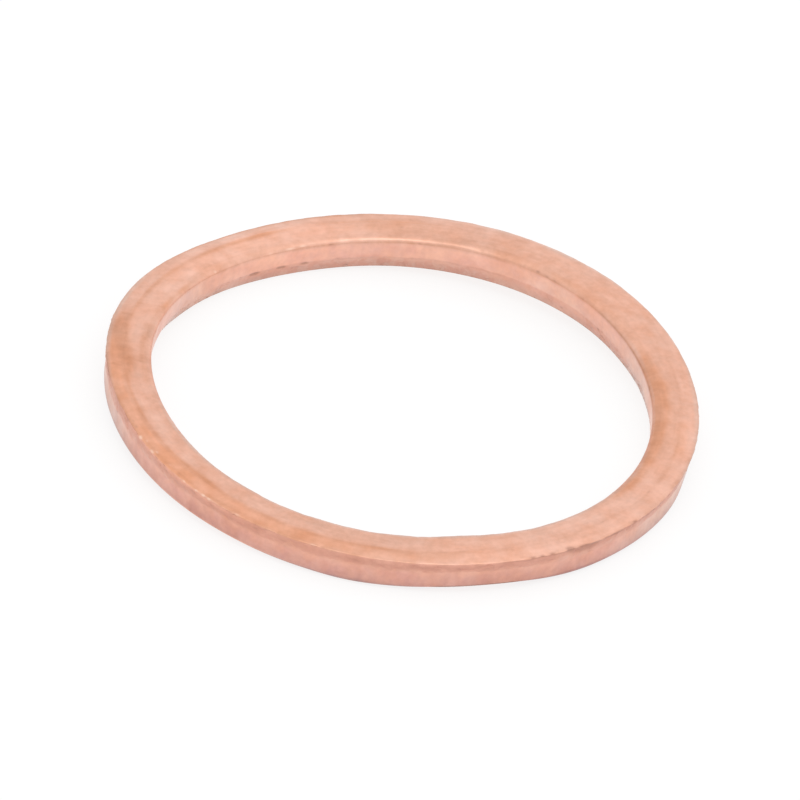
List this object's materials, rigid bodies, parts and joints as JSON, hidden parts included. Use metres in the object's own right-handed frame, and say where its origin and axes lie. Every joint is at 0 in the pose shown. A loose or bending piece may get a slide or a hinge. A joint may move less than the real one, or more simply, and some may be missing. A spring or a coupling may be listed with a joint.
{
  "type": "copper sealing washer",
  "caption": "Flat copper sealing washer with stamped edges, slightly bent out of flat, that is crushed under a threaded plug or banjo union to seal it.",
  "frame": {"origin": "on the ring's axis, level with the three points of the underside that it stands on", "axes": "+Z along the ring's axis, from the underside with the rolled outer edge to the face with the burr; +X to the right in the picture"},
  "size_m": [0.032, 0.032, 0.0028],
  "materials": {
    "copper": "bare annealed copper, satin, as stamped"
  },
  "bodies": {
    "root": {"sealing_washer": "copper"}
  },
  "joints": []
}
